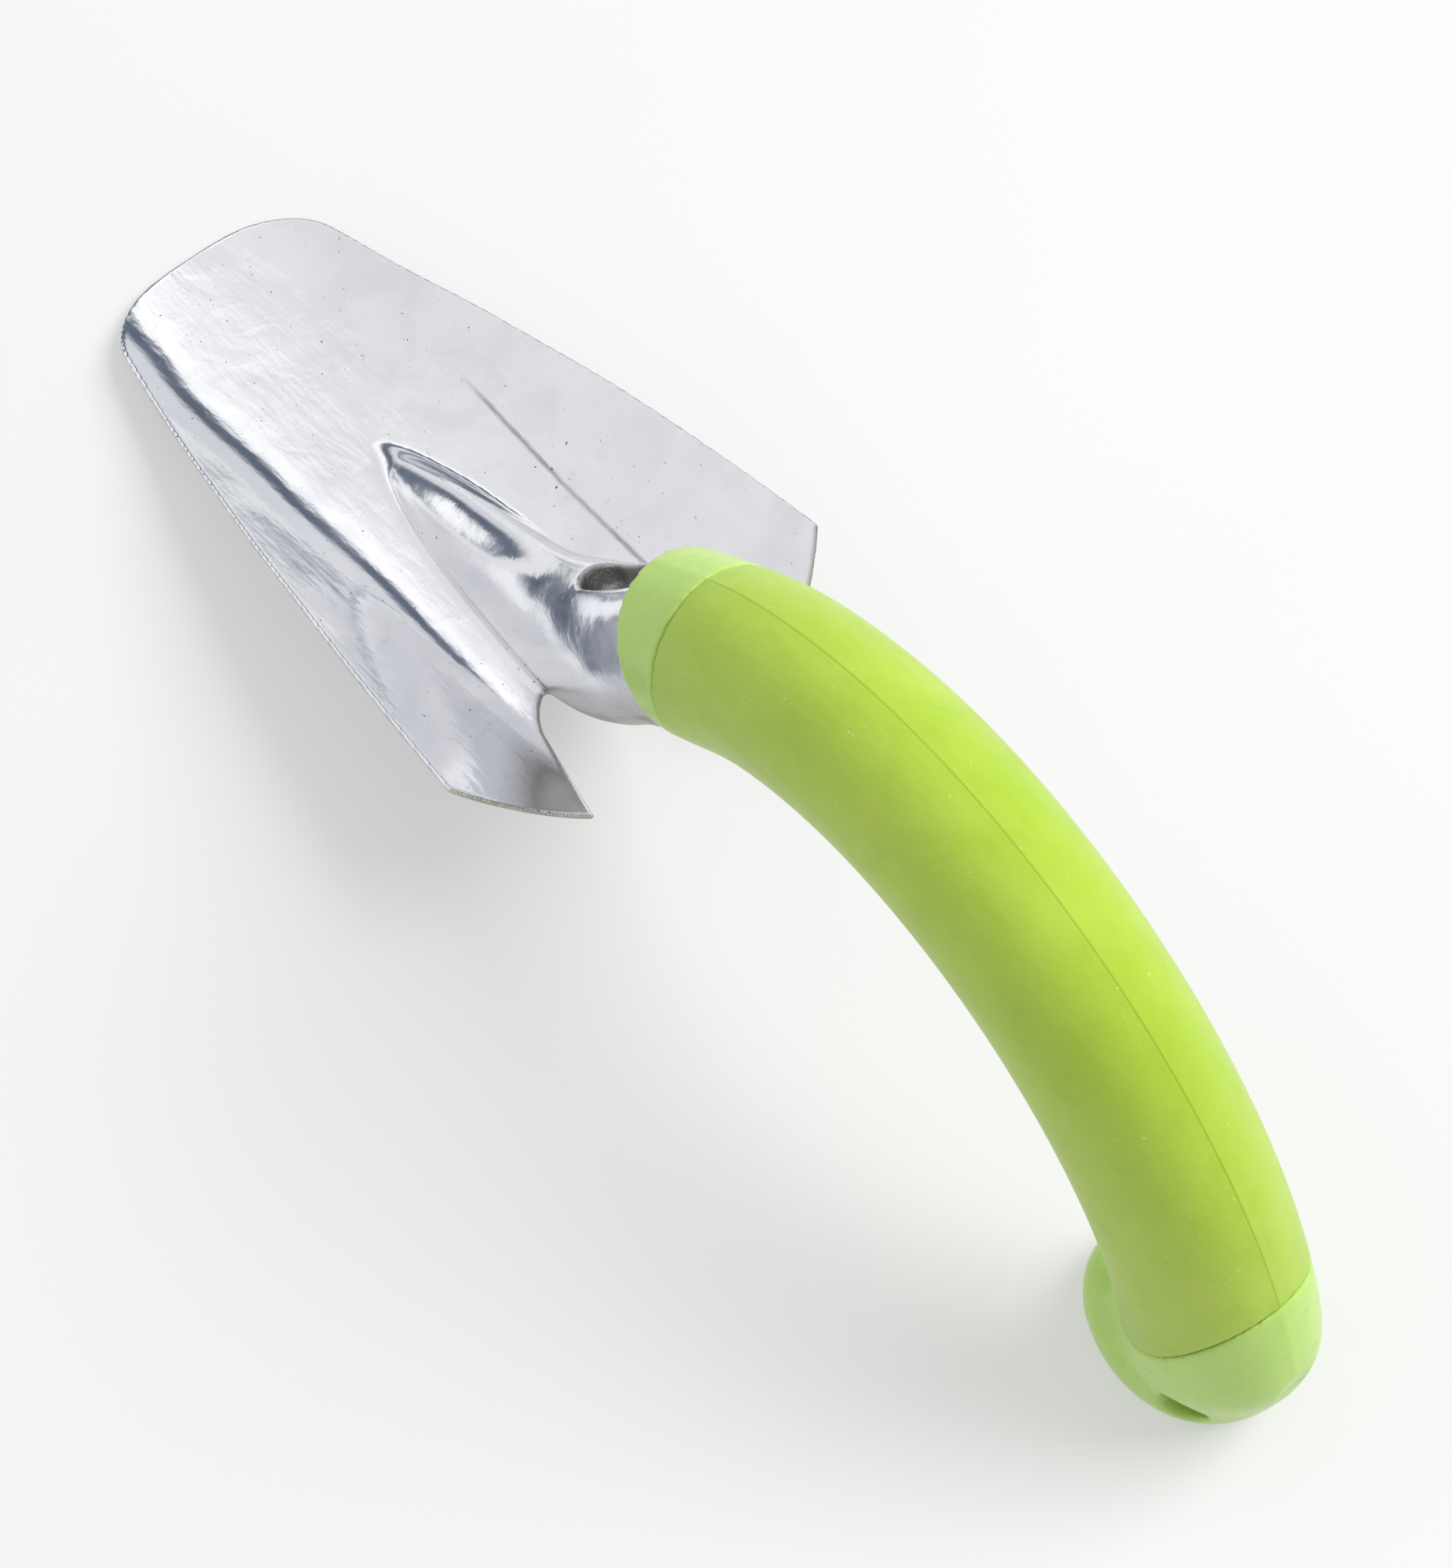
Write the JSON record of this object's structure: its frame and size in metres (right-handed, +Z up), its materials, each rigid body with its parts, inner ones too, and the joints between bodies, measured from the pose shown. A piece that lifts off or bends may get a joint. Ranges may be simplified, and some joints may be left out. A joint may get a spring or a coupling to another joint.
{
  "type": "hand trowel",
  "caption": "Ergonomic hand trowel with a polished cast aluminium blade on a ridged neck and a strongly bowed green soft-grip handle.",
  "frame": {"origin": "bottom centre of the box of the whole trowel, which stands on the blade's tip and the foot of the pommel", "axes": "+X towards the blade's tip, +Z up, y = 0 is the mirror plane of the tool"},
  "size_m": [0.3598, 0.0976, 0.1232],
  "materials": {
    "cast_aluminium": "polished, mottled from hand buffing, with as-cast edges and pocket",
    "hard_plastic": "light green moulded plastic, satin",
    "soft_grip": "yellow green soft elastomer, satin, with a fine mould line"
  },
  "bodies": {
    "root": {"blade": "cast_aluminium", "handle_core": "hard_plastic", "grip": "soft_grip"}
  },
  "joints": []
}
